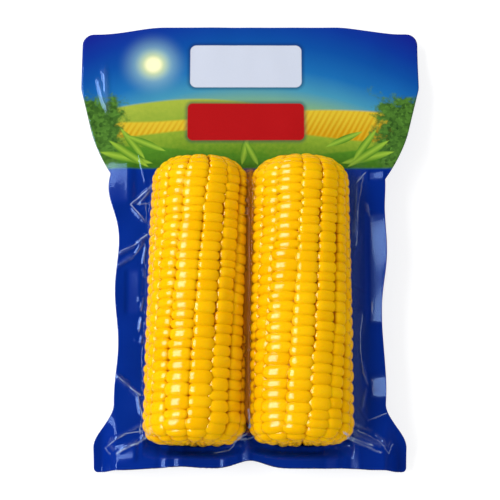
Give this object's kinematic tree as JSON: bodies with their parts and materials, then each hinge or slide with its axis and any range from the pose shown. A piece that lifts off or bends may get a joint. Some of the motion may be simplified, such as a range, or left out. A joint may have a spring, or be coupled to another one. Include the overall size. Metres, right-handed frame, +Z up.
{
  "type": "vacuum pack of corn cobs",
  "caption": "Cooked corn cobs vacuum packed side by side between a clear front film and a blue backing film with a wide printed header.",
  "frame": {"origin": "under the middle of the pack, on the surface it lies on", "axes": "+X to the right and +Y towards the header as the pack is read, +Z up out of the clear side"},
  "size_m": [0.1632, 0.2164, 0.0508],
  "materials": {
    "blue_film": "glossy blue laminated film, printed on the header",
    "corn": null,
    "clear_film": "clear glossy packing film, drawn tight"
  },
  "bodies": {
    "root": {"back_film": "blue_film", "cob_left": "corn", "cob_right": "corn", "front_film": "clear_film"}
  },
  "joints": []
}
